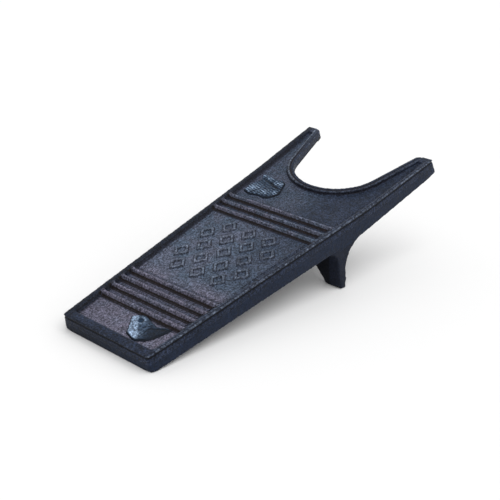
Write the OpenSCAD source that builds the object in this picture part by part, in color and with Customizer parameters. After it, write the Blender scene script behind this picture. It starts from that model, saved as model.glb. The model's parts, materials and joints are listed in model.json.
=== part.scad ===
// Cast-iron boot jack: a sloping tread with a raised border, two bands of ribs, a forked end for the
// heel of the boot and two feet joined by an arched web.
// Everything is drawn on the tread: x runs up the slope from the front edge, y across it and z square
// to it, with the border's top at z = 0. The last step leans it and sets the origin on the floor, in
// the middle of the length.

/* [Tread] */
// Length of the tread along its slope, front edge to fork tips
tread_l = 290.2; // [280:0.1:305]
// Slope of the tread in degrees
slope = 11.87; // [10:0.01:13]
// Width across the front edge
front_w = 75.4; // [70:0.1:85]
// Width across the tread at the waist, above the feet
waist_w = 106.6; // [102:0.1:112]
// Width across the top of the fork tips
tip_w = 117.7; // [114:0.1:125]
// Distance from the fork tips to the waist
waist_back = 87.4; // [82:0.1:92]
// Outward lean of the side walls in degrees
draft = 5.2; // [2:0.1:6]
// Thickness of the plate under the panels
plate_t = 4; // [3:0.1:5]
// Radius of the upright corners at the front edge
corner_r = 1.8; // [1:0.1:4]

/* [Fork] */
// Distance from the fork tips to the bottom of the heel notch
notch_depth = 75.3; // [70:0.1:78]
// Radius of the notch bottom
notch_r = 35.8; // [33:0.1:38]
// Flare of the notch sides in degrees
notch_flare = 13.3; // [10:0.1:15]
// Extra upward slope of the fork in degrees
fork_lift = 2.6; // [1:0.1:4]
// Distance from the fork tips to where the tread turns up into the fork
lift_back = 80.4; // [75:0.1:85]
// Length of the stretch that turns up
lift_l = 40; // [30:1:50]
// Length of the closed block at each fork tip
tip_block = 7; // [5:0.5:9]
// Outward lean of the tips' end faces from upright, in degrees
tip_lean = 6; // [2:0.1:8]
// Slant of the tips' underside, up towards the notch, in degrees
tip_slant = 15; // [5:0.5:18]
// Radius of the tips' upright corners on the notch side
tip_r = 6; // [2:0.1:7]

/* [Border and panels] */
// Depth of the panels under the border
relief = 3; // [2:0.1:3.5]
// Width of the border along the sides
side_rim = 4.4; // [4:0.1:6]
// Width of the border along the front
front_rim_w = 7; // [6:0.1:8]
// Width of the border round the notch
notch_rim_w = 5.3; // [4.5:0.1:6]
// Distance from the notch to the groove in its border
groove_in = 2.6; // [2:0.1:3]
// Width of that groove
groove_w = 0.9; // [0.5:0.1:1.2]
// Depth of that groove
groove_d = 0.6; // [0.3:0.1:1]
// Width of the low step inside the border
step_w = 2.8; // [2:0.1:3.2]
// Height of that step above the panel
step_h = 1.2; // [0.8:0.1:1.6]

/* [Ribs] */
// Distance from the front edge to the first rib of the front band
front_rib_x = 32.8; // [31:0.1:35]
// Number of ribs in the front band
front_rib_n = 4; // [3:1:5]
// Distance from the fork tips to the first rib of the rear band
rear_rib_back = 136; // [131:0.1:141]
// Number of ribs in the rear band
rear_rib_n = 3; // [2:1:3]
// Spacing of the ribs
rib_pitch = 9.6; // [9:0.1:10]
// Width of a rib where it leaves the plate
rib_foot = 5; // [4:0.1:6]
// Width of a rib at its rounded top
rib_top = 2.2; // [1.5:0.1:2.6]
// Height of a rib above the panel
rib_h = 2.7; // [1.8:0.1:3]

/* [Walls] */
// Depth of the front edge, square to the tread
front_d = 12; // [11.5:0.1:13.5]
// Length of the flat under the front edge, along the floor
front_land = 3.5; // [2:0.1:5]
// Depth of the side walls in front of the waist
waist_d = 17; // [16:0.1:20]
// Depth of the side walls behind the waist
rear_waist_d = 16.2; // [15:0.1:18]
// Depth of the fork tips
tip_d = 13.3; // [12.5:0.1:15]
// Thickness of the walls
wall = 4.5; // [4:0.1:5]

/* [Feet] */
// Distance from the fork tips to the front of the feet
foot_back = 120.2; // [116:0.1:122]
// Thickness of a foot where it meets the floor
foot_t = 6; // [5:0.1:8]
// Lean of the feet's rear face in degrees
foot_lean = 5; // [3:0.1:7]
// Radius where the feet meet the side walls, in front
foot_front_r = 9; // [7:0.1:11]
// Radius where the feet meet the side walls, behind
foot_rear_r = 22; // [18:0.1:24]
// Height of the arch between the feet, above the floor
arch_h = 28; // [24:0.1:30]
// Radius of the arch
arch_r = 43; // [40:0.1:46]
// Distance from the middle line to where the arched web becomes a foot
web_half = 31; // [29:0.5:33]

/* [Reliefs] */
// Height of the two reliefs above their panels
relief_h = 1.6; // [1:0.1:2]
// Distance from the front edge to the middle of the duck's head
duck_x = 18.5; // [18:0.1:19]
// Gap between the duck's bill and the right-hand border
duck_gap = 3.8; // [2:0.1:5]
// Radius of the duck's head
duck_r = 9.3; // [8:0.1:9.5]
// Distance from the fork tips to the middle of the hound's head
hound_back = 93.9; // [92.8:0.1:94.8]
// Gap between the hound's ear and the step inside the left-hand border
hound_gap = 3.1; // [2:0.1:4.5]
// Radius of the hound's head
hound_r = 10.5; // [8:0.1:11]

/* [Hidden] */
$fn = 96;
reach = 400;
lift_steps = 8;
waist_x = tread_l - waist_back;
notch_x = tread_l - notch_depth;
lift_from = tread_l - lift_back - lift_l / 2;
tip_from = tread_l - tip_block;
foot_x = tread_l - foot_back;
rear_rib_x = tread_l - rear_rib_back;
under = relief + plate_t;
tip_lift = lift(tread_l);
foot_mid = foot_x + foot_t / 2;
// overlap by which a fillet is rooted in what it joins
bond = 1.5;
// amount by which a round reaches past the straight faces that it joins, so that they cross it cleanly
cross = 0.05;
rear_rise = (rear_waist_d - tip_d + tip_lift) / (tread_l - waist_x);
// lean of the tips' end faces from square to the tread, and how far down the tread's axes they reach
end_lean = slope + tip_lean;
end_drop = tip_d / (1 + rear_rise * tan(end_lean));
tip_end = [tread_l + end_drop * tan(end_lean), tip_lift - end_drop];
overall_l = tip_end.x * cos(slope) - tip_end.y * sin(slope);
notch_c = notch_x + notch_r;
front_rib_end = front_rib_x + (front_rib_n - 1) * rib_pitch + rib_foot / 2;
rear_rib_end = rear_rib_x + (rear_rib_n - 1) * rib_pitch + rib_foot / 2;
// depth that the front walls need to meet the floor over the length of the flat
land_d = front_d + front_land * (tan(slope) - (waist_d - front_d) / waist_x);
// the reliefs keep their gaps to the borders beside them
duck_reach = duck_r * 2.33;
duck_y = -(half_w(duck_x) - side_rim - duck_gap - duck_reach);
hound_x = tread_l - hound_back;
hound_y = half_w(hound_x) - side_rim - step_w - hound_gap - hound_r * 1.3;

// Half the tread's width at a distance from the front edge
function half_w(x) =
    x < waist_x
    ? (front_w + (waist_w - front_w) * x / waist_x) / 2
    : (waist_w + (tip_w - waist_w) * (x - waist_x) / (tread_l - waist_x)) / 2;

// Height that the fork's lift adds at a distance from the front edge
function lift(x) =
    let (s = min(max(x - lift_from, 0), lift_l))
    tan(fork_lift) * (s * s / (2 * lift_l) + max(x - lift_from - lift_l, 0));

// Places along the tread at which a profile needs a point
function stations(a, b) = concat(
    [a],
    [
        for (i = [0:lift_steps])
            let (x = lift_from + lift_l * i / lift_steps)
            if (x > a && x < b) x
    ],
    [b]
);

// Heights of the side walls' bottom edge, in front of the feet and behind them, on the tread's axes
front_rise = -(waist_d - land_d) / waist_x;
function front_bottom(x) = -land_d + front_rise * x;
function rear_bottom(x) = -rear_waist_d + rear_rise * (x - waist_x);

// Height of the floor, on the tread's axes
function floor_at(x) = -front_d - x * tan(slope);

// Leans the tread and puts the front edge on the floor
module on_floor() {
    translate([-overall_l / 2, 0, front_d * cos(slope)])
        rotate([0, -slope, 0])
            children();
}

// Draws a side profile right across the tread
module across() {
    rotate([90, 0, 0])
        linear_extrude(height = reach, center = true)
            children();
}

// Draws a plan right through the tread
module through() {
    translate([0, 0, -reach / 2])
        linear_extrude(height = reach)
            children();
}

// Layer of the casting between two depths under the border's top
module layer(a, b, top, bottom) {
    xs = stations(a, b);
    n = len(xs);
    across()
        polygon(concat(
            [for (x = xs) [x, lift(x) - top]],
            [for (i = [n - 1:-1:0]) [xs[i], lift(xs[i]) - bottom]]
        ));
}

// Layer that hangs under the plate, down to the walls' bottom edge
module hanging(a, b) {
    xs = stations(a, b);
    far = b < foot_mid
        ? [[b, front_bottom(b)]]
        : [[b, rear_bottom(b)], [foot_mid, rear_bottom(foot_mid)], [foot_mid, front_bottom(foot_mid)]];
    across()
        polygon(concat([for (x = xs) [x, lift(x) - under]], far, [[a, front_bottom(a)]]));
}

// Everything outside one stretch of a leaning side
module beyond_side(x0, w0, x1, w1) {
    translate([x0, w0 / 2, 0])
        rotate([0, 0, atan2((w1 - w0) / 2, x1 - x0)])
            rotate([draft, 0, 0])
                translate([-reach, 0, -reach])
                    cube([2 * reach, reach, 2 * reach]);
}

// Everything outside one side: where the fork flares more than the front, both stretches must be passed
module beyond_sides() {
    if ((tip_w - waist_w) / (tread_l - waist_x) > (waist_w - front_w) / waist_x)
        intersection() {
            beyond_side(0, front_w, waist_x, waist_w);
            beyond_side(waist_x, waist_w, tread_l, tip_w);
        }
    else {
        beyond_side(0, front_w, waist_x, waist_w);
        beyond_side(waist_x, waist_w, tread_l, tip_w);
    }
}

// Cuts what it is given to the leaning sides and to the floor
module trimmed() {
    difference() {
        children();
        for (side = [0, 1])
            mirror([0, side, 0])
                beyond_sides();
        translate([0, 0, -front_d])
            rotate([0, slope, 0])
                translate([-reach, -reach, -reach])
                    cube([2 * reach, 2 * reach, reach]);
        for (side = [0, 1])
            mirror([0, side, 0])
                front_corner();
    }
}

// What lies outside a rounded corner: a wedge from the corner's centre, less the circle
module corner_cut(r, from, to) {
    far = 3 * r;
    difference() {
        polygon([
            [0, 0],
            far * [cos(from), sin(from)],
            1.5 * far * [cos((from + to) / 2), sin((from + to) / 2)],
            far * [cos(to), sin(to)]
        ]);
        circle(r);
    }
}

// Rounds the upright corner at the front edge, leaning with the side
module front_corner() {
    turn = atan2((waist_w - front_w) / 2, waist_x);
    from_faces = corner_r - cross;
    in = from_faces * (1 - sin(turn)) / cos(turn);
    translate([0, front_w / 2, 0])
        rotate([0, 0, turn])
            rotate([draft, 0, 0])
                rotate([0, 0, -turn])
                    through()
                        translate([from_faces, -in])
                            corner_cut(corner_r, 180, 90 + turn);
}

// Rounds a tip's upright corner on the notch side
module tip_corner() {
    from_faces = tip_r - cross;
    // the round's axis runs down the notch's side and along the leaning end face
    tilt = atan(tan(end_lean) / cos(notch_flare));
    square = cos(end_lean) * cos(tilt) * cos(notch_flare) + sin(end_lean) * sin(tilt);
    turn = atan2(-cos(end_lean) * sin(notch_flare), square);
    in = from_faces * (1 + sin(turn)) / cos(turn);
    translate([tread_l, notch_side(tread_l), tip_lift])
        rotate([0, 0, notch_flare])
            rotate([0, -tilt, 0])
                through()
                    translate([-in, from_faces])
                        corner_cut(tip_r, turn, -90);
}

// Plan of the tread inside a border of a given width
module inside(inset, a = 0, b = tread_l) {
    xs = waist_x > a && waist_x < b ? [a, waist_x, b] : [a, b];
    n = len(xs);
    through()
        polygon(concat(
            [for (x = xs) [x, half_w(x) - inset]],
            [for (i = [n - 1:-1:0]) [xs[i], inset - half_w(xs[i])]]
        ));
}

// Half the notch's width at a distance from the front edge, along its flared sides
function notch_side(x) =
    notch_r * cos(notch_flare) + (x - notch_c + notch_r * sin(notch_flare)) * tan(notch_flare);

// Plan of the heel notch, grown by a given amount
module notch(grow = 0) {
    r = notch_r + grow;
    tx = notch_c - r * sin(notch_flare);
    ty = r * cos(notch_flare) - cross;
    out = tread_l + 20;
    flare = (out - tx) * tan(notch_flare);
    union() {
        through()
            translate([notch_c, 0])
                circle(r);
        through()
            polygon([[tx, ty], [out, ty + flare], [out, -ty - flare], [tx, -ty]]);
    }
}

// One side of the tread, from the middle line outwards
module one_side(side) {
    intersection() {
        children();
        translate([-reach, side > 0 ? 0 : -reach, -reach])
            cube([2 * reach, reach, 2 * reach]);
    }
}

// Plate that carries the panels and ties the whole casting together
module tread_plate() {
    color([0.27, 0.26, 0.31])
        on_floor()
            trimmed()
                difference() {
                    layer(0, tip_from, relief, under);
                    notch();
                }
}

// Raised border along the front edge
module front_rim() {
    color([0.13, 0.2, 0.28])
        on_floor()
            intersection() {
                layer(0, front_rim_w, 0, relief);
                inside(side_rim);
            }
}

// Raised border along one side, with the low step inside it beside the panels
module side_border(side) {
    color([0.13, 0.2, 0.28])
        on_floor()
            one_side(side)
                trimmed()
                    difference() {
                        union() {
                            difference() {
                                layer(0, tip_from, 0, relief);
                                inside(side_rim, -1, tread_l + 1);
                            }
                            difference() {
                                union() {
                                    layer(front_rib_end, rear_rib_x - rib_foot / 2, relief - step_h, relief);
                                    layer(rear_rib_end, tip_from, relief - step_h, relief);
                                }
                                inside(side_rim + step_w, -1, tread_l + 1);
                            }
                        }
                        notch(notch_rim_w);
                    }
}

module left_rim() {
    side_border(1);
}

module right_rim() {
    side_border(-1);
}

// Raised border round the heel notch, with a fine groove that follows it
module notch_rim() {
    color([0.13, 0.2, 0.28])
        on_floor()
            difference() {
                intersection() {
                    layer(notch_x - notch_rim_w - 1, tip_from, 0, relief);
                    notch(notch_rim_w);
                }
                notch();
                intersection() {
                    layer(notch_x - notch_rim_w - 1, tread_l, -1, groove_d);
                    difference() {
                        notch(groove_in + groove_w);
                        notch(groove_in);
                    }
                }
            }
}

// One rib with sloping sides and a round top, right across the tread
module rib() {
    r = rib_top / 2;
    union() {
        across()
            polygon([[-rib_foot / 2, 0], [-r, rib_h - r], [r, rib_h - r], [rib_foot / 2, 0]]);
        across()
            translate([0, rib_h - r])
                circle(r, $fn = 24);
    }
}

// Band of ribs that runs from border to border
module rib_band(x0, n) {
    color([0.14, 0.2, 0.26])
        on_floor()
            for (i = [0:n - 1])
                intersection() {
                    translate([x0 + i * rib_pitch, 0, lift(x0 + i * rib_pitch) - relief])
                        rib();
                    inside(side_rim);
                }
}

module front_ribs() {
    rib_band(front_rib_x, front_rib_n);
}

module rear_ribs() {
    rib_band(rear_rib_x, rear_rib_n);
}

// Raises a flat shape above a panel
module raised() {
    linear_extrude(height = relief_h)
        children();
}

// Duck's head, its bill pointing to the right-hand border
module duck_relief() {
    r = duck_r;
    bill = duck_reach - r * 0.28;
    color([0.3, 0.4, 0.5])
        on_floor()
            translate([duck_x, duck_y, -relief])
                union() {
                    raised()
                        circle(r);
                    raised()
                        polygon([[r * 0.8, -r * 0.3], [r * 0.78, -bill], [r * 0.26, -bill], [-r * 0.6, -r * 0.6]]);
                    raised()
                        translate([r * 0.52, -bill])
                            circle(r * 0.28, $fn = 32);
                }
}

// Hound's head, its muzzle pointing across the tread and its ear hanging behind
module hound_relief() {
    r = hound_r;
    color([0.3, 0.4, 0.5])
        on_floor()
            translate([hound_x, hound_y, -relief])
                union() {
                    raised()
                        circle(r);
                    raised()
                        polygon([[r * 0.9, -r * 0.2], [r * 0.6, -r * 1.2], [-r * 0.2, -r * 1.2], [-r * 0.9, -r * 0.2]]);
                    raised()
                        translate([r * 0.2, -r * 1.12])
                            circle(r * 0.42, $fn = 48);
                    raised()
                        translate([-r * 0.3, r * 0.75])
                            circle(r * 0.55, $fn = 48);
                }
}

// Wall that hangs under the front edge and rests on the floor
module front_wall() {
    color([0.12, 0.13, 0.19])
        on_floor()
            intersection() {
                trimmed()
                    hanging(0, wall);
                inside(wall, -1, wall + 1);
            }
}

// Wall that hangs under one side, from the front corner to the tip block
module side_wall(side) {
    color([0.12, 0.13, 0.19])
        on_floor()
            one_side(side)
                trimmed()
                    difference() {
                        hanging(0, tip_from);
                        inside(wall, -1, tread_l + 1);
                    }
}

module left_wall() {
    side_wall(1);
}

module right_wall() {
    side_wall(-1);
}

// Everything below a tip's slanted underside
module below_tip() {
    translate([tread_l, half_w(tread_l), rear_bottom(tread_l)])
        rotate([0, -atan(rear_rise), 0])
            rotate([-tip_slant, 0, 0])
                translate([-reach, -reach, -reach])
                    cube([2 * reach, 2 * reach, reach]);
}

// Solid block that closes one fork tip
module fork_tip(side) {
    color([0.12, 0.16, 0.23])
        on_floor()
            one_side(side)
                trimmed()
                    difference() {
                        across()
                            polygon([
                                [tip_from, lift(tip_from)],
                                [tread_l, tip_lift],
                                tip_end,
                                [tip_from, rear_bottom(tip_from)]
                            ]);
                        notch();
                        mirror([0, side > 0 ? 0 : 1, 0]) {
                            tip_corner();
                            below_tip();
                        }
                    }
}

module left_tip() {
    fork_tip(1);
}

module right_tip() {
    fork_tip(-1);
}

// Where the feet's rear face, which leans back, meets a height on the tread's axes
function rear_face(z) = foot_x + foot_t + (z - floor_at(foot_x + foot_t)) * tan(foot_lean);

// Side profile of the feet and the web: a blade square to the tread
module blade() {
    low = floor_at(foot_x + foot_t) - foot_t;
    across()
        polygon([[foot_x, -under], [rear_face(-under), -under], [rear_face(low), low], [foot_x, low]]);
}

// Fillet in front of a foot, between its face and the side wall's bottom edge
module front_fillet() {
    r = foot_front_r;
    tilt = atan(front_rise);
    centre = [foot_x - r, front_bottom(foot_x - r) - r / cos(tilt)];
    across()
        difference() {
            polygon([
                centre + r * [-sin(tilt), cos(tilt)],
                centre + r * [-sin(tilt), cos(tilt)] + [0, bond],
                [foot_x + bond, front_bottom(foot_x) + bond],
                [foot_x + bond, centre.y],
                [foot_x, centre.y]
            ]);
            translate(centre)
                circle(r);
        }
}

// Fillet behind a foot, between its leaning face and the side wall's bottom edge
module rear_fillet() {
    r = foot_rear_r;
    tilt = atan(rear_rise);
    out = [cos(foot_lean), -sin(foot_lean)];
    up = [sin(foot_lean), cos(foot_lean)];
    base = [foot_x + foot_t, floor_at(foot_x + foot_t)];
    run = (rear_bottom(base.x) - base.y) / (up.y - rear_rise * up.x);
    corner = base + run * up;
    // the centre lies at the radius from both edges, so on the line that halves their angle
    half = (90 + foot_lean + tilt) / 2;
    edge = r / tan(half);
    along = [cos(tilt), sin(tilt)];
    centre = corner - edge * up + r * out;
    across()
        difference() {
            polygon([
                corner - edge * up,
                corner - edge * up - bond * out,
                corner - bond * out + bond * up,
                corner + edge * along + bond * up,
                corner + edge * along
            ]);
            translate(centre)
                circle(r);
        }
}

// Arch between the feet
module arch() {
    translate([0, 0, floor_at(foot_x) + arch_h - arch_r])
        rotate([0, 90, 0])
            cylinder(r = arch_r, h = reach);
}

// Arched web that joins the feet under the plate
module leg_web() {
    color([0.07, 0.08, 0.11])
        on_floor()
            difference() {
                intersection() {
                    blade();
                    translate([0, -web_half, -reach])
                        cube([reach, 2 * web_half, reach]);
                }
                arch();
            }
}

// Foot under one side, its outer face flush with the side wall
module leg(side) {
    color([0.12, 0.13, 0.19])
        on_floor()
            one_side(side)
                trimmed()
                    difference() {
                        union() {
                            blade();
                            difference() {
                                union() {
                                    front_fillet();
                                    rear_fillet();
                                }
                                inside(wall, -1, tread_l + 1);
                            }
                        }
                        translate([0, -web_half, -reach])
                            cube([reach, 2 * web_half, 2 * reach]);
                        arch();
                        difference() {
                            hanging(0, tip_from);
                            inside(wall, -1, tread_l + 1);
                        }
                    }
}

module left_leg() {
    leg(1);
}

module right_leg() {
    leg(-1);
}

tread_plate();
front_rim();
left_rim();
right_rim();
notch_rim();
front_ribs();
rear_ribs();
duck_relief();
hound_relief();
front_wall();
left_wall();
right_wall();
left_tip();
right_tip();
leg_web();
left_leg();
right_leg();
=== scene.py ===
"""Looks of a cast-iron boot jack: one rounded casting cut into its cast features, in worn dark paint.

Sizes are in millimetres on the tread's own axes: u runs up the slope from the front edge, v across it
to the left side, w square to it with the border's top at 0. to_row() turns them into metres in the row
frame. The photo looks from the right and the front, so its far side is the left one.
"""

import json
import math

import bmesh
import bpy
import numpy as np
from mathutils import Matrix, Vector


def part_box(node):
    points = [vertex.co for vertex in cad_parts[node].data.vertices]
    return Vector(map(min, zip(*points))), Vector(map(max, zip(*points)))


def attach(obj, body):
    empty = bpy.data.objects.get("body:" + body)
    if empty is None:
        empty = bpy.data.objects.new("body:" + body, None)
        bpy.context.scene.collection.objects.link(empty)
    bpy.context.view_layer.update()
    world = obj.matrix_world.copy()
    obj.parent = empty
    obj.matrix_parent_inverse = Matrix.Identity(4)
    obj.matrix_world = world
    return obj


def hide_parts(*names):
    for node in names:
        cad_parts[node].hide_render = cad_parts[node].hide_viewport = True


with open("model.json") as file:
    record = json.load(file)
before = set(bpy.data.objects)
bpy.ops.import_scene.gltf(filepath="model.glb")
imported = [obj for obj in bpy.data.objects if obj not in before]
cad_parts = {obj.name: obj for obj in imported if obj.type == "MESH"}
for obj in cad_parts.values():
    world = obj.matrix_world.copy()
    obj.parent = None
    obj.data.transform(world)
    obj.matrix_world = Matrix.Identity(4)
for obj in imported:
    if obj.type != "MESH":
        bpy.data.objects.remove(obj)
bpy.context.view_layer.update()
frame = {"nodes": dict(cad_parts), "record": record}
MM = 0.001

# Tread: its slope and the sizes of its top face
SLOPE = math.radians(11.87)
LENGTH = 290.2
FRONT_W = 75.4
WAIST_W = 106.6
TIP_W = 117.7
WAIST_U = LENGTH - 87.4
FRONT_DEPTH = 12.0
PANEL_DEPTH = 3.0

# Borders: the side borders are flat up to RIM_TOP and slope down from there to STEP_IN
SIDE_RIM = 4.4
FRONT_RIM = 7.0
STEP_W = 2.8
STEP_IN = SIDE_RIM + STEP_W
RIM_TOP = 2.6
RIM_SLOPE = 3.6
LEDGE_H = 0.8
LEDGE_SPAN = (66, 149)
LEDGE_WIDER = 3.2

# Fine groove round the outer faces, and the groove along the notch's border
EDGE_LINE_DOWN = 1.7
EDGE_LINE_DEPTH = 0.45
GROOVE_IN = 3.05
GROOVE_DEPTH = 0.45

# Fork
EDGE_DEPTH = 7.0
NOTCH_U = LENGTH - 75.3
NOTCH_R = 35.8
NOTCH_FLARE = math.radians(13.3)
LIFT_LENGTH = 40.0
LIFT_FROM = LENGTH - 80.4 - LIFT_LENGTH / 2
FORK_LIFT = math.radians(2.6)
PRONG_FROM = 245
PRONG_RISE = 1.5
TIP_REACH = 12

# Ribs
RIB_PITCH = 9.6
RIB_H = 2.7
RIB_FOOT = 5.0
FLUTE_IN = 2.6
FRONT_RIBS = [32.8 + i * RIB_PITCH for i in range(4)]
REAR_RIBS = [LENGTH - 136 + i * RIB_PITCH for i in range(3)]

# Casting
VOXEL = 0.55
ROUNDING_STEPS = 4
CORNER_STEPS = 24
SWELL = 1.0
CAST_WAVE = 0.12
FEET_FROM = 100

# Lozenge rings on the middle panel: the edges of each ring are shares of its half lengths
STUD_PITCH_U = 27.0
STUD_PITCH_V = 18.0
STUD_LONG = 8.4
STUD_SHORT = 6.6
STUD_H = 1.1
STUDS_FROM = 84.0
STUDS_TO = 139.0
STUDS_IN = 15
RING_OUTSIDE = (1.0, 0.86)
RING_INSIDE = (0.44, 0.58)

# Animal heads: where each one's centre is, and its outline and eye round that centre
HEAD_STEPS = 220
HEAD_RINGS = 46
HEAD_SINK = 0.8
DUCK_AT = (19.4, -14.0)
DUCK_EYE = (4.4, 6.4)
DUCK_OUTLINE = [
    (6.0, 15.9), (9.4, 11.4), (10.9, 8.1), (8.5, 1.1), (6.4, -6.0), (7.3, -10.6), (10.8, -16.2),
    (4.6, -14.6), (-1.9, -12.4), (-7.3, -9.2), (-10.7, -3.2), (-10.3, 0.3), (-8.2, 6.7), (0.5, 12.2),
]
HOUND_AT = (197.6, 31.0)
HOUND_EYE = (2.4, 4.6)
HOUND_OUTLINE = [
    (-12.6, 12.7), (-3.7, 14.2), (3.6, 11.3), (8.2, 10.9), (12.7, 14.2), (15.1, 11.8), (12.3, 2.6),
    (14.0, -4.8), (11.3, -9.3), (5.5, -11.3), (-0.1, -13.7), (-4.8, -14.5), (-12.3, -10.9),
    (-14.3, -7.7), (-13.3, -2.1), (-15.1, 5.2), (-14.2, 9.4),
]

# Camera, as fitted to the photo: place in metres, then azimuth, elevation and roll in degrees
CAMERA_AT = (-0.45722, -0.35213, 0.27878)
CAMERA_TURN = (-51.97, 23.94, 3.41)
SENSOR = 36
LENS = 63.6

# Light and floor
AMBIENT = 0.76
KEY_TOWARDS = (0.1, 0.45, -1.0)
KEY_SOFTNESS = 60
KEY_STRENGTH = 1.3
FLOOR_REACH = 6.0
FLOOR_GREY = 0.9


def half_width(u):
    """Half the tread's width at its top."""
    front = FRONT_W + (WAIST_W - FRONT_W) * u / WAIST_U
    rear = WAIST_W + (TIP_W - WAIST_W) * (u - WAIST_U) / (LENGTH - WAIST_U)
    return np.where(u < WAIST_U, front, rear) / 2


def lift(u):
    """Height that the fork's upturn adds."""
    bent = np.clip(u - LIFT_FROM, 0, LIFT_LENGTH)
    beyond = np.maximum(u - LIFT_FROM - LIFT_LENGTH, 0)
    return math.tan(FORK_LIFT) * (bent * bent / (2 * LIFT_LENGTH) + beyond)


def from_notch(u, v):
    """Distance from the edge of the heel notch, positive on the iron."""
    du = u - NOTCH_U - NOTCH_R
    side = np.abs(v)
    along = du * math.cos(NOTCH_FLARE) + side * math.sin(NOTCH_FLARE)
    square = side * math.cos(NOTCH_FLARE) - du * math.sin(NOTCH_FLARE)
    return np.where(along > 0, square, np.hypot(du, side)) - NOTCH_R


def smooth_step(low, high, x):
    """Rises smoothly from 0 at low to 1 at high, or falls where low is the larger of the two."""
    x = np.clip((x - low) / (high - low), 0, 1)
    return x * x * (3 - 2 * x)


# Axes of the tread, as rows in the row frame
AXES = np.array([
    [math.cos(SLOPE), 0, math.sin(SLOPE)],
    [0, 1, 0],
    [-math.sin(SLOPE), 0, math.cos(SLOPE)],
])
ORIGIN = np.array([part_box("front_rim")[0].x / MM, 0, FRONT_DEPTH * math.cos(SLOPE)])


def to_row(tread):
    return (np.asarray(tread, float) @ AXES + ORIGIN) * MM


def to_tread(row):
    return (np.asarray(row, float) / MM - ORIGIN) @ AXES.T


# Meshes

def coords(mesh):
    co = np.empty(len(mesh.vertices) * 3)
    mesh.vertices.foreach_get("co", co)
    return co.reshape(-1, 3)


def set_coords(mesh, co):
    mesh.vertices.foreach_set("co", np.asarray(co, float).ravel())
    mesh.update()


def normals(mesh):
    no = np.empty(len(mesh.vertices) * 3, np.float32)
    mesh.vertex_normals.foreach_get("vector", no)
    return no.reshape(-1, 3).astype(float)


def new_object(name, mesh):
    obj = bpy.data.objects.new(name, mesh)
    bpy.context.scene.collection.objects.link(obj)
    return obj


def evaluated(obj):
    """The object's mesh with its modifiers applied."""
    bpy.context.view_layer.update()
    depsgraph = bpy.context.evaluated_depsgraph_get()
    return bpy.data.meshes.new_from_object(obj.evaluated_get(depsgraph))


def node_mesh(names, swell=0.0):
    """Closed mesh of some CAD nodes, with its corners moved outwards by swell."""
    bm = bmesh.new()
    for name in names:
        part = bmesh.new()
        part.from_mesh(frame["nodes"][name].data)
        bmesh.ops.remove_doubles(part, verts=part.verts, dist=1e-6)
        part.normal_update()
        if swell:
            for vert in part.verts:
                vert.co += vert.normal * swell * MM
        joined = bpy.data.meshes.new("part")
        part.to_mesh(joined)
        part.free()
        bm.from_mesh(joined)
        bpy.data.meshes.remove(joined)
    mesh = bpy.data.meshes.new("nodes")
    bm.to_mesh(mesh)
    bm.free()
    mesh.materials.clear()
    return mesh


def rounded(mesh, steps, weight=None):
    """Rounds edges off by moving each vertex towards its neighbours, where the weight is above 0."""
    edges = np.empty(len(mesh.edges) * 2, np.int64)
    mesh.edges.foreach_get("vertices", edges)
    edges = edges.reshape(-1, 2)
    here = np.concatenate([edges[:, 0], edges[:, 1]])
    there = np.concatenate([edges[:, 1], edges[:, 0]])
    co = coords(mesh)
    if weight is None:
        weight = np.ones(len(co))
    moved = np.flatnonzero(weight > 0)
    place = np.full(len(co), -1)
    place[moved] = np.arange(len(moved))
    kept = place[here] >= 0
    here, there = place[here[kept]], there[kept]
    count = np.bincount(here, minlength=len(moved))[:, None]
    for _ in range(steps):
        total = np.stack([np.bincount(here, co[there, k], len(moved)) for k in range(3)], 1)
        co[moved] += 0.5 * weight[moved, None] * (total / count - co[moved])
    set_coords(mesh, co)


def soft_corners(mesh):
    """Where the casting is rounder: the feet's ends and the upright corners of the front and tips."""
    row = coords(mesh)
    u, v, w = to_tread(row).T
    depth = lift(u) - w
    side = half_width(u) - np.abs(v)
    feet = smooth_step(7, 3, row[:, 2] / MM) * (u > FEET_FROM)
    front = smooth_step(5, 2, u) * smooth_step(5, 2, side)
    tips = smooth_step(LENGTH - 6, LENGTH - 2, u)
    return np.maximum(feet, np.maximum(front, tips) * smooth_step(0.5, 2.0, depth))


def panel_pattern(u, v):
    """Low worn lozenge rings in staggered rows on the middle panel."""
    height = np.zeros_like(u)
    for offset in (0, 0.5):
        du = u - STUDS_FROM - offset * STUD_PITCH_U
        du -= np.round(du / STUD_PITCH_U) * STUD_PITCH_U
        dv = v - offset * STUD_PITCH_V
        dv -= np.round(dv / STUD_PITCH_V) * STUD_PITCH_V
        reach = np.abs(du) / STUD_LONG + np.abs(dv) / STUD_SHORT
        middle = u - du
        inside = (middle > STUDS_FROM - 1) & (middle < STUDS_TO + 1)
        inside &= half_width(middle) - np.abs(v - dv) > STUDS_IN
        height += STUD_H * smooth_step(*RING_OUTSIDE, reach) * smooth_step(*RING_INSIDE, reach) * inside
    return height


def flute_ends(u, v):
    """Fills the right-hand ends of the flutes between the ribs, so that they end in half rounds."""
    height = np.zeros_like(u)
    radius = (RIB_PITCH - RIB_FOOT) / 2 + 0.9
    for ribs in (FRONT_RIBS, REAR_RIBS):
        for rib in ribs[:-1]:
            end = half_width(u) - SIDE_RIM - FLUTE_IN - radius
            out = np.maximum(-v - end, 0)
            past = np.hypot(u - rib - RIB_PITCH / 2, out) - radius
            near = (np.abs(u - rib - RIB_PITCH / 2) < RIB_PITCH / 2) & (out > 0)
            height = np.where(near, (RIB_H - 0.5) * smooth_step(0, 2.0, past), height)
    return height


def from_ribs(u):
    """Distance along the slope to the nearest rib's middle, positive behind it."""
    gaps = u[:, None] - np.array(FRONT_RIBS + REAR_RIBS)
    return gaps[np.arange(len(u)), np.abs(gaps).argmin(1)]


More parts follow.
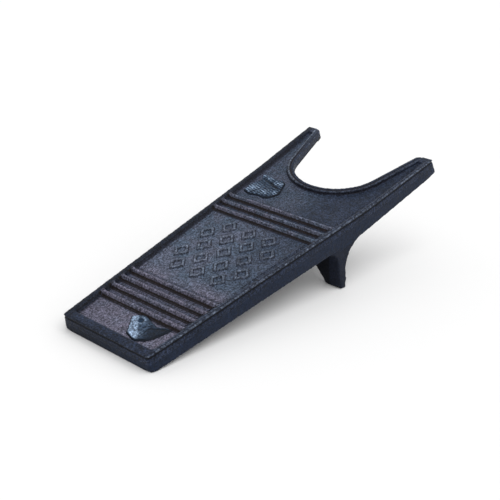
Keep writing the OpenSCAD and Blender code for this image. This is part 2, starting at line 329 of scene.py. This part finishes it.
def slope_borders(u, v, w, filled):
    """Moves the steep inner faces of the side borders to a slope that ends where the panel begins."""
    side = half_width(u) - np.abs(v)
    depth = lift(u) - w
    share = np.clip((side + depth - RIM_TOP) / (STEP_IN + PANEL_DEPTH - RIM_TOP), 0, 1)
    new_side = RIM_TOP + (STEP_IN - RIM_TOP) * share
    new_depth = PANEL_DEPTH * smooth_step(0, RIM_SLOPE, new_side - RIM_TOP)
    here = (side > RIM_TOP) & (side < STEP_IN + 0.4) & (depth > -0.4) & (depth < PANEL_DEPTH + 0.2)
    off_ribs = smooth_step(RIB_FOOT / 2 - 0.4, RIB_FOOT / 2 + 1.3, np.abs(from_ribs(u)))
    weight = here * off_ribs * (1 - filled)
    weight *= smooth_step(FRONT_RIM, FRONT_RIM + 2, u) * smooth_step(LENGTH - 14, LENGTH - 20, u)
    weight *= smooth_step(6.5, 9.0, from_notch(u, v))
    moved_v = v - np.sign(v) * weight * (new_side - side)
    return moved_v, w - weight * (new_depth - depth)


def thinner_tips(u, v, w):
    """How far the undersides of the tips rise towards the notch."""
    below = np.maximum(lift(u) - w - EDGE_DEPTH, 0)
    return 0.8 * below * smooth_step(9, 4, from_notch(u, v)) * (u > LENGTH - TIP_REACH)


def unevenness(u, v):
    """The slow waves of a sand-cast surface."""
    waves = [
        (0.21, 0.13, 0.3), (-0.11, 0.27, 1.7), (0.33, -0.21, 2.9), (0.05, 0.39, 4.1), (0.47, 0.08, 5.3),
    ]
    return sum(np.sin(a * u + b * v + c) for a, b, c in waves) / len(waves)


def prong_rise(u):
    """How much shallower the panel is towards the tips of the prongs."""
    return PRONG_RISE * smooth_step(PRONG_FROM, 282, u)


def near_ledge(u, v):
    """The low ledge inside the right-hand border, which widens towards the rear."""
    inner = STEP_IN + LEDGE_WIDER * smooth_step(70, 150, u)
    beside = (u > LEDGE_SPAN[0]) & (u < LEDGE_SPAN[1]) & (v < 0)
    return LEDGE_H * smooth_step(-0.6, 0.6, np.abs(v) - half_width(u) + inner) * beside


def edge_line(u, w):
    """Depth of the fine groove that runs round the outer faces, just under the border's top edge."""
    return EDGE_LINE_DEPTH * (1 - smooth_step(0.3, 0.9, np.abs(lift(u) - w - EDGE_LINE_DOWN)))


def dress_top(mesh):
    """Adds the fine forms to the rounded casting."""
    row = coords(mesh)
    tread = to_tread(row)
    no = normals(mesh) @ AXES.T
    up = no[:, 2]
    u, v, w = tread.T
    top = (up > 0.25) & (w > lift(u) - PANEL_DEPTH - 0.8)
    floor = smooth_step(0.5, 0.9, up) * (w < lift(u) - PANEL_DEPTH + 1.0)
    rise = floor * (panel_pattern(u, v) + flute_ends(u, v) + near_ledge(u, v) + prong_rise(u))
    groove = np.abs(from_notch(u, v) - GROOVE_IN)
    rise -= GROOVE_DEPTH * (1 - smooth_step(0.2, 1.0, groove)) * (w > lift(u) - 1.2)
    rise += CAST_WAVE * unevenness(u, v)
    outside = (np.abs(up) < 0.5) & ((half_width(u) - np.abs(v) < 1.5) | (u < 1.5))
    inward = (edge_line(u, w) - 0.1 * unevenness(u, w * 2 + v)) * outside
    tread -= no * inward[:, None]
    tread[:, 2] += np.where(top, rise, 0)
    u, v, w = tread.T
    sloped_v, sloped_w = slope_borders(u, v, w, np.clip(flute_ends(u, v) / 1.5, 0, 1))
    tread[:, 1] = np.where(up > -0.2, sloped_v, v)
    tread[:, 2] = np.where(up > -0.2, sloped_w, w)
    tread[:, 2] += thinner_tips(u, v, tread[:, 2])
    set_coords(mesh, to_row(tread))


# Paint marks: each is a share between 0 and 1 that the material reads. Most paint in light and shade:
# painted sheen, painted highlights and painted shade.

class Surface:
    """Where each vertex of the casting lies, and which part of the casting it is on."""

    def __init__(self, mesh):
        self.u, self.v, w = to_tread(coords(mesh)).T
        self.up = normals(mesh) @ AXES[2]
        self.depth = lift(self.u) - w
        self.side = half_width(self.u) - np.abs(self.v)
        self.notch = from_notch(self.u, self.v)
        self.beyond = from_ribs(self.u)
        self.pattern = panel_pattern(self.u, self.v) / STUD_H
        self.line_depth = edge_line(self.u, w)
        self.inner = (self.side > 2) & (self.u > 2) & (self.notch > 1.5) & (self.depth < 5)
        self.outer = (self.side < 1.5) | (self.u < 1.5)
        self.on_rim = self.inner * (self.depth < 1.2)
        near_rib = np.abs(self.beyond) < RIB_PITCH / 2 + 0.1
        self.flute = self.inner & near_rib & (self.side > RIM_TOP + 1)


def rib_tops(s):
    return s.flute * smooth_step(2.1, 1.5, np.abs(s.beyond + 0.2))


def right_rear(s):
    """The panel's right-hand side behind the front ribs, which the photo shows darker and bluer."""
    return smooth_step(5, -28, s.v) * smooth_step(60, 100, s.u)


def prong_fade(s):
    """Weaker painted shade on the prongs, where the channel gets shallower."""
    return 1 - 0.75 * smooth_step(PRONG_FROM, 275, s.u)


def painted_sheen(s):
    """Painted sheen, a painted reflection on the flats: the panel's floor, which dulls towards the
    rear, and the ribs' tops.
    """
    floor = smooth_step(0.72, 0.95, s.up) * smooth_step(1.0, 2.0, s.depth + prong_rise(s.u)) * s.inner
    floor *= smooth_step(4.8, 6.8, s.side)
    left_front = smooth_step(0, 30, s.v) * smooth_step(60, 20, s.u)
    floor *= 1 - 0.5 * smooth_step(95, 190, s.u) - 0.42 * right_rear(s) - 0.2 * left_front
    return np.where(s.flute, np.maximum(rib_tops(s), 0.4 * floor), floor)


def teal(s):
    """How far the painted sheen turns from violet to blue, which it does behind the front ribs."""
    return smooth_step(60, 80, s.u) * (0.75 - 0.35 * rib_tops(s)) + 0.25 * right_rear(s)


def painted_recess_shade(s):
    """Painted shade, dark brown, on steep faces, in the flutes, round the rings and along the borders
    and the notch.
    """
    rib_front = s.flute * smooth_step(-4.3, -3.7, s.beyond) * smooth_step(-1.4, -1.9, s.beyond)
    rib_back = s.flute * smooth_step(1.4, 1.7, s.beyond) * smooth_step(2.4, 2.0, s.beyond)
    edge = smooth_step(RIM_TOP + 0.6, RIM_TOP + 1.4, s.side) * smooth_step(7.0, 5.4, s.side)
    edge *= s.inner * (s.notch > 8)
    edge *= np.where(s.flute & (np.abs(s.beyond) < 2.4), 0, smooth_step(0.3, 0.9, s.depth))
    steep = (1 - smooth_step(0.5, 0.88, s.up)) * smooth_step(0.2, 1.0, s.depth) * s.inner
    steep *= np.where(s.flute, 0.3, np.where((s.side < 7) | (s.notch < 8), 0.6, 1))
    flanks = smooth_step(0.1, 0.5, s.pattern) * smooth_step(1.0, 0.7, s.pattern) * s.inner
    groove = smooth_step(0.9, 0.4, np.abs(s.notch - GROOVE_IN)) * s.on_rim
    ledge = near_ledge(s.u, s.v) / LEDGE_H
    ledge_edge = smooth_step(0.05, 0.4, ledge) * smooth_step(0.95, 0.6, ledge) * s.inner
    dark = [steep, rib_front, 0.6 * rib_back, 0.5 * edge, 0.7 * flanks, 0.6 * ledge_edge, 0.8 * groove]
    return np.maximum.reduce(dark) * prong_fade(s)


# Painted shade: the fine groove round the outer faces is painted black
def painted_groove_shade(s):
    return smooth_step(0.1, 0.35, s.line_depth) * s.outer * (np.abs(s.up) < 0.6)


def wear_and_highlight(s, rounded_off):
    """Lighter paint on edges that stand out and on the rings' tops: rubbed paint, with a painted
    highlight that is strongest on the right border and on the notch's ridge towards the left.
    """
    lit = 0.3 + 0.7 * (((s.side < 1.8) & (s.v < 0)) | (s.notch < 2.2))
    edges = smooth_step(0.06, 0.3, rounded_off) * (s.up > 0.1) * lit
    crest = smooth_step(0.9, 0.5, s.depth) * (s.depth > -0.5) * (s.u > FRONT_RIM)
    border = 0.26 * smooth_step(1.3, 0.8, s.side) * crest * np.where(s.v < 0, 1, 0.3)
    border += 0.16 * smooth_step(0.6, 0.3, np.abs(s.side - RIM_TOP)) * crest * (s.v < 0)
    ridge = smooth_step(1.0, 0.4, np.abs(s.notch - 4.6)) * s.on_rim
    ridge *= 0.08 + 0.34 * smooth_step(5, 25, s.v)
    return np.maximum.reduce([edges, border, ridge, 0.22 * smooth_step(0.8, 1.0, s.pattern)])


def painted_deep_shade(s, rounded_off):
    """Painted shade, nearly black, in corners, underneath, on the left border and at the front face's
    left.
    """
    corners = smooth_step(0.05, 0.3, -rounded_off) * (s.depth > 0.5) * prong_fade(s)
    under = (s.up < 0.3) & (s.depth > PANEL_DEPTH + 2) & (s.side > 5.5) & (s.u > 3)
    left_border = 0.7 * (s.v > 0) * (s.side < 5) * smooth_step(2.5, 1.0, s.depth) * (s.notch > 6)
    front = 0.6 * (s.u < 1.5) * smooth_step(-25, 25, s.v)
    return np.maximum.reduce([np.maximum(corners, under), left_border, front])


def store_marks(mesh, marks):
    for name, values in marks.items():
        layer = mesh.attributes.new(name, "FLOAT", "POINT")
        layer.data.foreach_set("value", np.asarray(values, np.float32))


def mark_surfaces(mesh, rounded_off):
    """Stores the marks. rounded_off is how far, in millimetres, the rounding moved each vertex in."""
    s = Surface(mesh)
    store_marks(mesh, {
        "painted_sheen": painted_sheen(s),
        "teal": teal(s),
        "painted_recess_shade": painted_recess_shade(s),
        "line": painted_groove_shade(s),
        "wear_and_highlight": wear_and_highlight(s, rounded_off),
        "painted_deep_shade": painted_deep_shade(s, rounded_off),
    })


def casting():
    """The whole casting as one closed, rounded mesh."""
    names = [n for n in frame["nodes"] if not n.endswith("_relief")]
    rough = new_object("rough", node_mesh(sorted(names)))
    remesh = rough.modifiers.new("remesh", "REMESH")
    remesh.mode = "VOXEL"
    remesh.voxel_size = VOXEL * MM
    mesh = evaluated(rough)
    bpy.data.objects.remove(rough)
    square = coords(mesh)
    rounded(mesh, ROUNDING_STEPS)
    rounded_off = ((square - coords(mesh)) * normals(mesh)).sum(1) / MM
    rounded(mesh, CORNER_STEPS, soft_corners(mesh))
    dress_top(mesh)
    mark_surfaces(mesh, rounded_off)
    return mesh


def cut(mesh, cutter, operation):
    obj = new_object("cut", mesh)
    tool = new_object("tool", cutter)
    boolean = obj.modifiers.new("cut", "BOOLEAN")
    boolean.operation = operation
    boolean.solver = "MANIFOLD"
    boolean.object = tool
    made = evaluated(obj)
    bpy.data.objects.remove(obj)
    bpy.data.objects.remove(tool)
    return made


def cut_into_features(mesh, order):
    """Cuts the casting where its CAD features meet: a closed piece for each, the last from the rest."""
    found = {}
    for name in order[:-1]:
        cutter = node_mesh([name], SWELL)
        found[name] = cut(mesh, cutter, "INTERSECT")
        mesh = cut(mesh, cutter, "DIFFERENCE")
    found[order[-1]] = mesh
    return found


# Animal heads

def closed_outline(points, steps):
    """Radius of a closed outline round a centre, for equal angles, from its corners joined straight."""
    corners = np.array(points, float)
    share = np.linspace(0, 1, 24, endpoint=False)[None, :, None]
    line = (corners[:, None] * (1 - share) + np.roll(corners, -1, 0)[:, None] * share).reshape(-1, 2)
    angles = np.arctan2(line[:, 1], line[:, 0])
    order = np.argsort(angles)
    angles, radii = angles[order], np.hypot(*line[order].T)
    angles = np.concatenate([angles[-3:] - 2 * np.pi, angles, angles[:3] + 2 * np.pi])
    radii = np.concatenate([radii[-3:], radii, radii[:3]])
    theta = np.linspace(-np.pi, np.pi, steps, endpoint=False)
    radius = np.interp(theta, angles, radii)
    for _ in range(2):
        radius = (np.roll(radius, 1) + 2 * radius + np.roll(radius, -1)) / 4
    return theta, radius


def dome(x, y, at, radius, height):
    return height * np.exp(-((x - at[0]) ** 2 + (y - at[1]) ** 2) / radius ** 2)


def ring(x, y, at, radius, width, height):
    return height * np.exp(-((np.hypot(x - at[0], y - at[1]) - radius) / width) ** 2)


def stroke(x, y, start, end, width, height):
    """A straight ridge, or a furrow where the height is negative."""
    along = np.subtract(end, start)
    t = np.clip(((x - start[0]) * along[0] + (y - start[1]) * along[1]) / np.dot(along, along), 0, 1)
    gap = np.hypot(x - start[0] - t * along[0], y - start[1] - t * along[1])
    return height * np.exp(-(gap / width) ** 2)


def duck_form(x, y):
    """Height of the duck's head and bill over its panel."""
    form = 1.45 - 0.35 * smooth_step(0, -8, y) + dome(x, y, (4.0, 7.5), 6.0, 0.45)
    form += dome(x, y, (-4.5, 1.5), 5.0, 0.35) + stroke(x, y, (6.5, -7.0), (9.5, -14.5), 1.2, 0.3)
    form += ring(x, y, DUCK_EYE, 2.9, 0.7, 0.45) - dome(x, y, DUCK_EYE, 2.0, 0.5)
    form += dome(x, y, DUCK_EYE, 0.9, 0.35)
    form += stroke(x, y, (1.5, -3.0), (8.0, -14.5), 0.55, -0.2)
    form += stroke(x, y, (3.5, -3.5), (-6.5, -3.5), 0.6, -0.25)
    form += dome(x, y, (0.8, 0.3), 1.0, -0.5)
    feathers = smooth_step(6.0, 3.0, from_nape(x, y))
    form += 0.17 * feathers * np.sin(2.1 * x + 0.5 * y) * np.sin(1.5 * y - 0.6 * x)
    return form


def from_nape(x, y):
    """Distance from the straight back of the duck's head."""
    return 0.687 * (x - 6.0) - 0.728 * (y - 15.7)


def duck_light(x, y):
    """Painted highlight on the duck: along the back of the head and round the eye."""
    light = 0.12 + 0.95 * smooth_step(5.0, 3.0, from_nape(x, y))
    light += ring(x, y, DUCK_EYE, 2.9, 0.8, 0.45)
    light += dome(x, y, (-5.5, -2.0), 2.5, 0.3) - dome(x, y, DUCK_EYE, 1.8, 0.7)
    return light * (0.75 + 0.5 * fur(x, y))


def fur(x, y):
    """Rough tufts between 0 and 1."""
    return 0.5 + 0.5 * np.sin(1.9 * x + 0.6 * y) * np.sin(1.7 * y - 0.8 * x + 0.8)


def hound_form(x, y):
    """Height of the hound's head over its panel: muzzle to the front, folded ear behind."""
    form = 1.3 + dome(x, y, (-4.5, 5.5), 7.5, 0.45) + dome(x, y, (-11.0, 8.5), 3.2, 0.35)
    ear = [(12.6, 12.2), (10.2, 4.0), (8.6, -3.0), (6.8, -8.8)]
    for start, end in zip(ear[:-1], ear[1:]):
        form += stroke(x, y, start, end, 1.9, 0.5)
    form += stroke(x, y, (8.5, 9.5), (5.5, 0.5), 0.7, -0.5)
    form += stroke(x, y, (5.5, 0.5), (1.0, -9.5), 0.7, -0.5)
    form += ring(x, y, HOUND_EYE, 1.5, 0.5, 0.35) - dome(x, y, HOUND_EYE, 1.0, 0.4)
    form += dome(x, y, HOUND_EYE, 0.5, 0.4)
    form += stroke(x, y, (-14.0, 5.5), (-7.0, 3.0), 0.6, -0.5) + dome(x, y, (-13.0, 9.8), 1.4, 0.35)
    for curl in range(4):
        form += stroke(x, y, (-11.5 + 3.6 * curl, -3.5), (-9.5 + 3.4 * curl, -10.5), 0.9, 0.4)
    return form + 0.5 * (fur(x, y) - 0.5)


def hound_light(x, y):
    """Painted highlight on the hound: the muzzle, the ear's fold and the curls under the jaw."""
    light = 0.06 + dome(x, y, (-8.0, 8.0), 5.5, 0.4) + dome(x, y, (9.5, 4.0), 2.2, 0.35)
    light += dome(x, y, (13.2, 11.5), 2.5, 0.35) + dome(x, y, (8.0, -8.4), 2.0, 0.5)
    light += dome(x, y, (-4.8, -11.7), 2.4, 0.45)
    light += dome(x, y, (-8.0, -3.5), 3.5, 0.3) + dome(x, y, (6.8, -4.6), 2.0, 0.3)
    return 3.2 * light * smooth_step(0.35, 0.7, fur(x, y))


def head_relief(name, centre, outline, form, light):
    """Closed mesh of an animal's head on rings round its centre, set a little into its panel."""
    steps, rings = HEAD_STEPS, HEAD_RINGS
    theta, radius = closed_outline(outline, steps)
    share = np.concatenate([np.linspace(0, 1, rings)[1:], [1.0]])
    x = np.append(np.outer(share, radius * np.cos(theta)).ravel(), 0)
    y = np.append(np.outer(share, radius * np.sin(theta)).ravel(), 0)
    inwards = np.repeat((1 - share)[:, None] * radius.mean(), steps, 1)
    inwards = np.append(inwards.ravel(), radius.mean())
    height = form(x, y) * (0.25 + 0.75 * smooth_step(0, 1.5, inwards))
    rim = (rings - 1) * steps
    height[rim:rim + steps] = -HEAD_SINK
    u, v = x + centre[0], y + centre[1]
    points = np.stack([u, v, lift(u) - PANEL_DEPTH + height], 1)
    middle = len(x) - 1
    base_w = float(lift(np.array(centre[0]))) - PANEL_DEPTH - HEAD_SINK
    base = np.array([[centre[0], centre[1], base_w]])
    faces = []
    for i in range(steps):
        j = (i + 1) % steps
        faces.append((middle, i, j))
        faces += [(k * steps + i, (k + 1) * steps + i, (k + 1) * steps + j, k * steps + j)
                  for k in range(rings - 1)]
        faces.append((middle + 1, rim + j, rim + i))
    mesh = bpy.data.meshes.new(name)
    mesh.from_pydata(to_row(np.concatenate([points, base])).tolist(), [], faces)
    lit = np.append(np.clip(light(x, y), 0, 1), 0)
    height = np.append(height, 0)
    # Painted highlight on the heads' high points, painted shade on their low parts
    store_marks(mesh, {
        "wear_and_highlight": smooth_step(0.8, 1.7, height) * lit,
        "painted_deep_shade": smooth_step(1.5, 0.9, height),
    })
    return mesh


# Materials

class Graph:
    """Short calls for building a material's nodes."""

    def __init__(self, name):
        self.material = bpy.data.materials.new(name)
        self.material.use_nodes = True
        self.nodes = self.material.node_tree.nodes
        self.links = self.material.node_tree.links
        self.shader = self.nodes["Principled BSDF"]
        self.place = self.nodes.new("ShaderNodeTexCoord").outputs["Object"]

    def put(self, socket, value):
        if isinstance(value, bpy.types.NodeSocket):
            self.links.new(value, socket)
        else:
            socket.default_value = value

    def mark(self, name):
        node = self.nodes.new("ShaderNodeAttribute")
        node.attribute_name = name
        return node.outputs["Fac"]

    def noise(self, size_mm, detail=2.0, rough=0.5):
        node = self.nodes.new("ShaderNodeTexNoise")
        self.put(node.inputs["Vector"], self.place)
        node.inputs["Scale"].default_value = 1 / (size_mm * MM)
        node.inputs["Detail"].default_value = detail
        node.inputs["Roughness"].default_value = rough
        return node.outputs["Fac"]

    def math(self, operation, a, b=0.0, c=0.0):
        node = self.nodes.new("ShaderNodeMath")
        node.operation = operation
        for socket, value in zip(node.inputs, (a, b, c)):
            self.put(socket, value)
        return node.outputs[0]

    def band(self, value, low, high, to_low=0.0, to_high=1.0):
        node = self.nodes.new("ShaderNodeMapRange")
        node.interpolation_type = "SMOOTHSTEP"
        for key, item in (("Value", value), ("From Min", low), ("From Max", high),
                          ("To Min", to_low), ("To Max", to_high)):
            self.put(node.inputs[key], item)
        return node.outputs["Result"]

    def mix(self, share, a, b, blend="MIX"):
        node = self.nodes.new("ShaderNodeMix")
        node.data_type = "RGBA"
        node.blend_type = blend
        self.put(node.inputs[0], share)
        self.put(node.inputs[6], a)
        self.put(node.inputs[7], b)
        return node.outputs[2]

    def bump(self, height, depth_mm, normal=None):
        node = self.nodes.new("ShaderNodeBump")
        node.inputs["Distance"].default_value = depth_mm * MM
        self.put(node.inputs["Height"], height)
        if normal:
            self.put(node.inputs["Normal"], normal)
        return node.outputs["Normal"]


# Colours of the paint, and what it turns to: painted sheen on the flats, painted shade in recesses,
# rubbed paint and painted highlight on edges
PAINT = (0.017, 0.024, 0.045, 1)
PAINT_DEEP = (0.008, 0.013, 0.027, 1)
# Darker copies of the paint, painted shade for the walls and for the feet underneath
WALL_SHADED_PAINT = (0.010, 0.016, 0.033, 1)
FOOT_SHADED_PAINT = (0.008, 0.011, 0.022, 1)
# Painted sheen: lighter violet and blue colours that stand in for light reflected by the flats
PAINTED_SHEEN = (0.112, 0.108, 0.152, 1)
PAINTED_SHEEN_BLUE = (0.062, 0.084, 0.124, 1)
# Painted shade, dark brown, in recesses and on steep faces
PAINTED_RECESS_SHADE = (0.008, 0.005, 0.005, 1)
# Painted shade, black, in the outer groove, in corners and underneath
PAINTED_SHADE_BLACK = (0.002, 0.002, 0.003, 1)
# Light paint where edges are rubbed and carry a painted highlight
WEAR_AND_HIGHLIGHT = (0.26, 0.30, 0.37, 1)
RELIEF = (0.009, 0.024, 0.050, 1)
# The heads' painted highlight
RELIEF_WEAR_AND_HIGHLIGHT = (0.26, 0.35, 0.49, 1)

# Sizes of the cast grain in millimetres, and how much the paint reflects
GRAIN = 1.1
SAND = 2.4
CLOUD = 14
GRAIN_DEPTH = 0.16
SAND_DEPTH = 0.30
GLOSS = 0.11


def painted_iron(name, ground=PAINT, wear_and_highlight=WEAR_AND_HIGHLIGHT, wear_and_highlight_most=0.8, least=0.1, grit=1.0):
    """Worn blue-black paint over sand-cast iron, with the marks' painted sheen, highlight and shade.
    wear_and_highlight_most and least bound how much of the rubbed paint and painted highlight shows.
    """
    g = Graph(name)
    grain = g.noise(GRAIN, 2.0, 0.65)
    sand = g.noise(SAND, 3.0, 0.65)
    cloud = g.noise(CLOUD, 3.0, 0.55)
    colour = g.mix(g.band(cloud, 0.35, 0.65, 0, 0.6 * grit), ground, PAINT_DEEP)
    # Painted sheen on the flats, turning from violet to blue
    blue = g.math("ADD", g.mark("teal"), g.band(cloud, 0.38, 0.66, -0.15, 0.35))
    painted_sheen_colour = g.mix(blue, PAINTED_SHEEN, PAINTED_SHEEN_BLUE)
    colour = g.mix(g.mark("painted_sheen"), colour, painted_sheen_colour)
    # Painted shade in recesses and on steep faces
    colour = g.mix(g.mark("painted_recess_shade"), colour, PAINTED_RECESS_SHADE)
    # Rubbed paint and painted highlight on edges
    wear_and_highlight_share = g.math("MULTIPLY", g.mark("wear_and_highlight"), g.band(sand, 0.35, 0.6, least, wear_and_highlight_most))
    colour = g.mix(wear_and_highlight_share, colour, wear_and_highlight)
    # Painted shade: black in the outer groove, nearly black in corners and underneath
    colour = g.mix(g.mark("line"), colour, PAINTED_SHADE_BLACK)
    colour = g.mix(g.math("MULTIPLY", g.mark("painted_deep_shade"), 0.75), colour, PAINTED_SHADE_BLACK)
    fine, coarse = g.band(grain, 0.34, 0.68, 0.35, 1.75), g.band(sand, 0.32, 0.68, 0.65, 1.35)
    speckle = g.math("MULTIPLY", fine, coarse)
    speckle = g.math("POWER", speckle, grit)
    tint = g.nodes.new("ShaderNodeCombineColor")
    for socket in tint.inputs:
        g.put(socket, speckle)
    colour = g.mix(1.0, colour, tint.outputs[0], "MULTIPLY")
    g.put(g.shader.inputs["Base Color"], colour)
    g.put(g.shader.inputs["Roughness"], g.band(sand, 0.3, 0.7, 0.42, 0.62))
    g.shader.inputs["Specular IOR Level"].default_value = GLOSS
    normal = g.bump(sand, SAND_DEPTH)
    g.put(g.shader.inputs["Normal"], g.bump(grain, GRAIN_DEPTH, normal))
    return g.material


# The casting's features, in the order in which they are cut off; the tread plate is what is left

FEATURES = [
    "front_ribs", "rear_ribs", "left_tip", "right_tip",
    "notch_rim", "front_rim", "left_rim", "right_rim",
    "left_leg", "right_leg", "leg_web",
    "front_wall", "left_wall", "right_wall", "tread_plate",
]
SLOTS = {row["node"]: row["material_slot"] for row in frame["record"]["subparts"]}

FINISHES = {
    "panel": painted_iron("panel_paint"),
    "border": painted_iron("border_paint"),
    "rib": painted_iron("rib_paint"),
    # The walls and the feet get darker copies of the paint: painted shade
    "wall": painted_iron("wall_shaded_paint", WALL_SHADED_PAINT, wear_and_highlight_most=0.7, grit=0.5),
    "foot": painted_iron("foot_shaded_paint", FOOT_SHADED_PAINT, wear_and_highlight_most=0.3, grit=0.5),
    "relief": painted_iron("relief_paint", RELIEF, RELIEF_WEAR_AND_HIGHLIGHT, wear_and_highlight_most=1.0, least=0.5, grit=0.8),
}


def add_piece(feature, mesh):
    mesh.materials.clear()
    mesh.materials.append(FINISHES[SLOTS[feature]])
    mesh.polygons.foreach_set("use_smooth", [True] * len(mesh.polygons))
    mesh.set_sharp_from_angle(angle=math.radians(50))
    piece = new_object("iron_" + feature, mesh)
    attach(piece, "root")
    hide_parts(feature)


for feature, mesh in cut_into_features(casting(), FEATURES).items():
    add_piece(feature, mesh)

add_piece("duck_relief", head_relief("duck", DUCK_AT, DUCK_OUTLINE, duck_form, duck_light))
add_piece("hound_relief", head_relief("hound", HOUND_AT, HOUND_OUTLINE, hound_form, hound_light))


# Camera, lights and floor

def camera_axes(azimuth, elevation, roll):
    """The camera's right, up and back, as rows."""
    level = math.cos(elevation)
    back = Vector((math.sin(azimuth) * level, -math.cos(azimuth) * level, math.sin(elevation)))
    right = Vector((math.cos(azimuth), math.sin(azimuth), 0))
    up = back.cross(right)
    turned_right = right * math.cos(roll) + up * math.sin(roll)
    turned_up = up * math.cos(roll) - right * math.sin(roll)
    return turned_right, turned_up, back


def add_camera():
    camera = bpy.data.cameras.new("camera")
    camera.sensor_width = SENSOR
    camera.lens = LENS
    obj = bpy.data.objects.new("camera", camera)
    bpy.context.scene.collection.objects.link(obj)
    axes = camera_axes(*(math.radians(angle) for angle in CAMERA_TURN))
    matrix = Matrix(axes).transposed().to_4x4()
    matrix.translation = Vector(CAMERA_AT)
    obj.matrix_world = matrix
    bpy.context.scene.camera = obj


def add_lamp(name, towards, softness, strength):
    """A large soft light far off, so that the floor is lit evenly."""
    lamp = bpy.data.lights.new(name, "SUN")
    lamp.angle = math.radians(softness)
    lamp.energy = strength
    obj = bpy.data.objects.new(name, lamp)
    bpy.context.scene.collection.objects.link(obj)
    obj.rotation_euler = Vector(towards).to_track_quat("-Z", "Y").to_euler()


def add_world():
    """White where it is seen, reflected or seen through, and AMBIENT for the light that it gives."""
    world = bpy.data.worlds.new("studio")
    bpy.context.scene.world = world
    world.use_nodes = True
    nodes = world.node_tree.nodes
    links = world.node_tree.links
    background = nodes["Background"]
    background.inputs["Color"].default_value = (1, 1, 1, 1)
    path = nodes.new("ShaderNodeLightPath")
    seen = path.outputs["Is Camera Ray"]
    for ray in ("Is Glossy Ray", "Is Transmission Ray"):
        both = nodes.new("ShaderNodeMath")
        both.operation = "MAXIMUM"
        links.new(seen, both.inputs[0])
        links.new(path.outputs[ray], both.inputs[1])
        seen = both.outputs[0]
    strength = nodes.new("ShaderNodeMapRange")
    strength.inputs["To Min"].default_value = AMBIENT
    strength.inputs["To Max"].default_value = 1.0
    links.new(seen, strength.inputs["Value"])
    links.new(strength.outputs["Result"], background.inputs["Strength"])


def add_floor():
    mesh = bpy.data.meshes.new("floor")
    far = FLOOR_REACH
    corners = [(-far, -far, 0), (far, -far, 0), (far, far, 0), (-far, far, 0)]
    mesh.from_pydata(corners, [], [(0, 1, 2, 3)])
    floor = new_object("floor", mesh)
    material = bpy.data.materials.new("pale_floor")
    material.use_nodes = True
    shader = material.node_tree.nodes["Principled BSDF"]
    shader.inputs["Base Color"].default_value = (FLOOR_GREY, FLOOR_GREY, FLOOR_GREY, 1)
    shader.inputs["Roughness"].default_value = 0.9
    mesh.materials.append(material)


bpy.context.scene.view_settings.view_transform = "Standard"
add_camera()
add_world()
add_floor()
add_lamp("key", KEY_TOWARDS, KEY_SOFTNESS, KEY_STRENGTH)
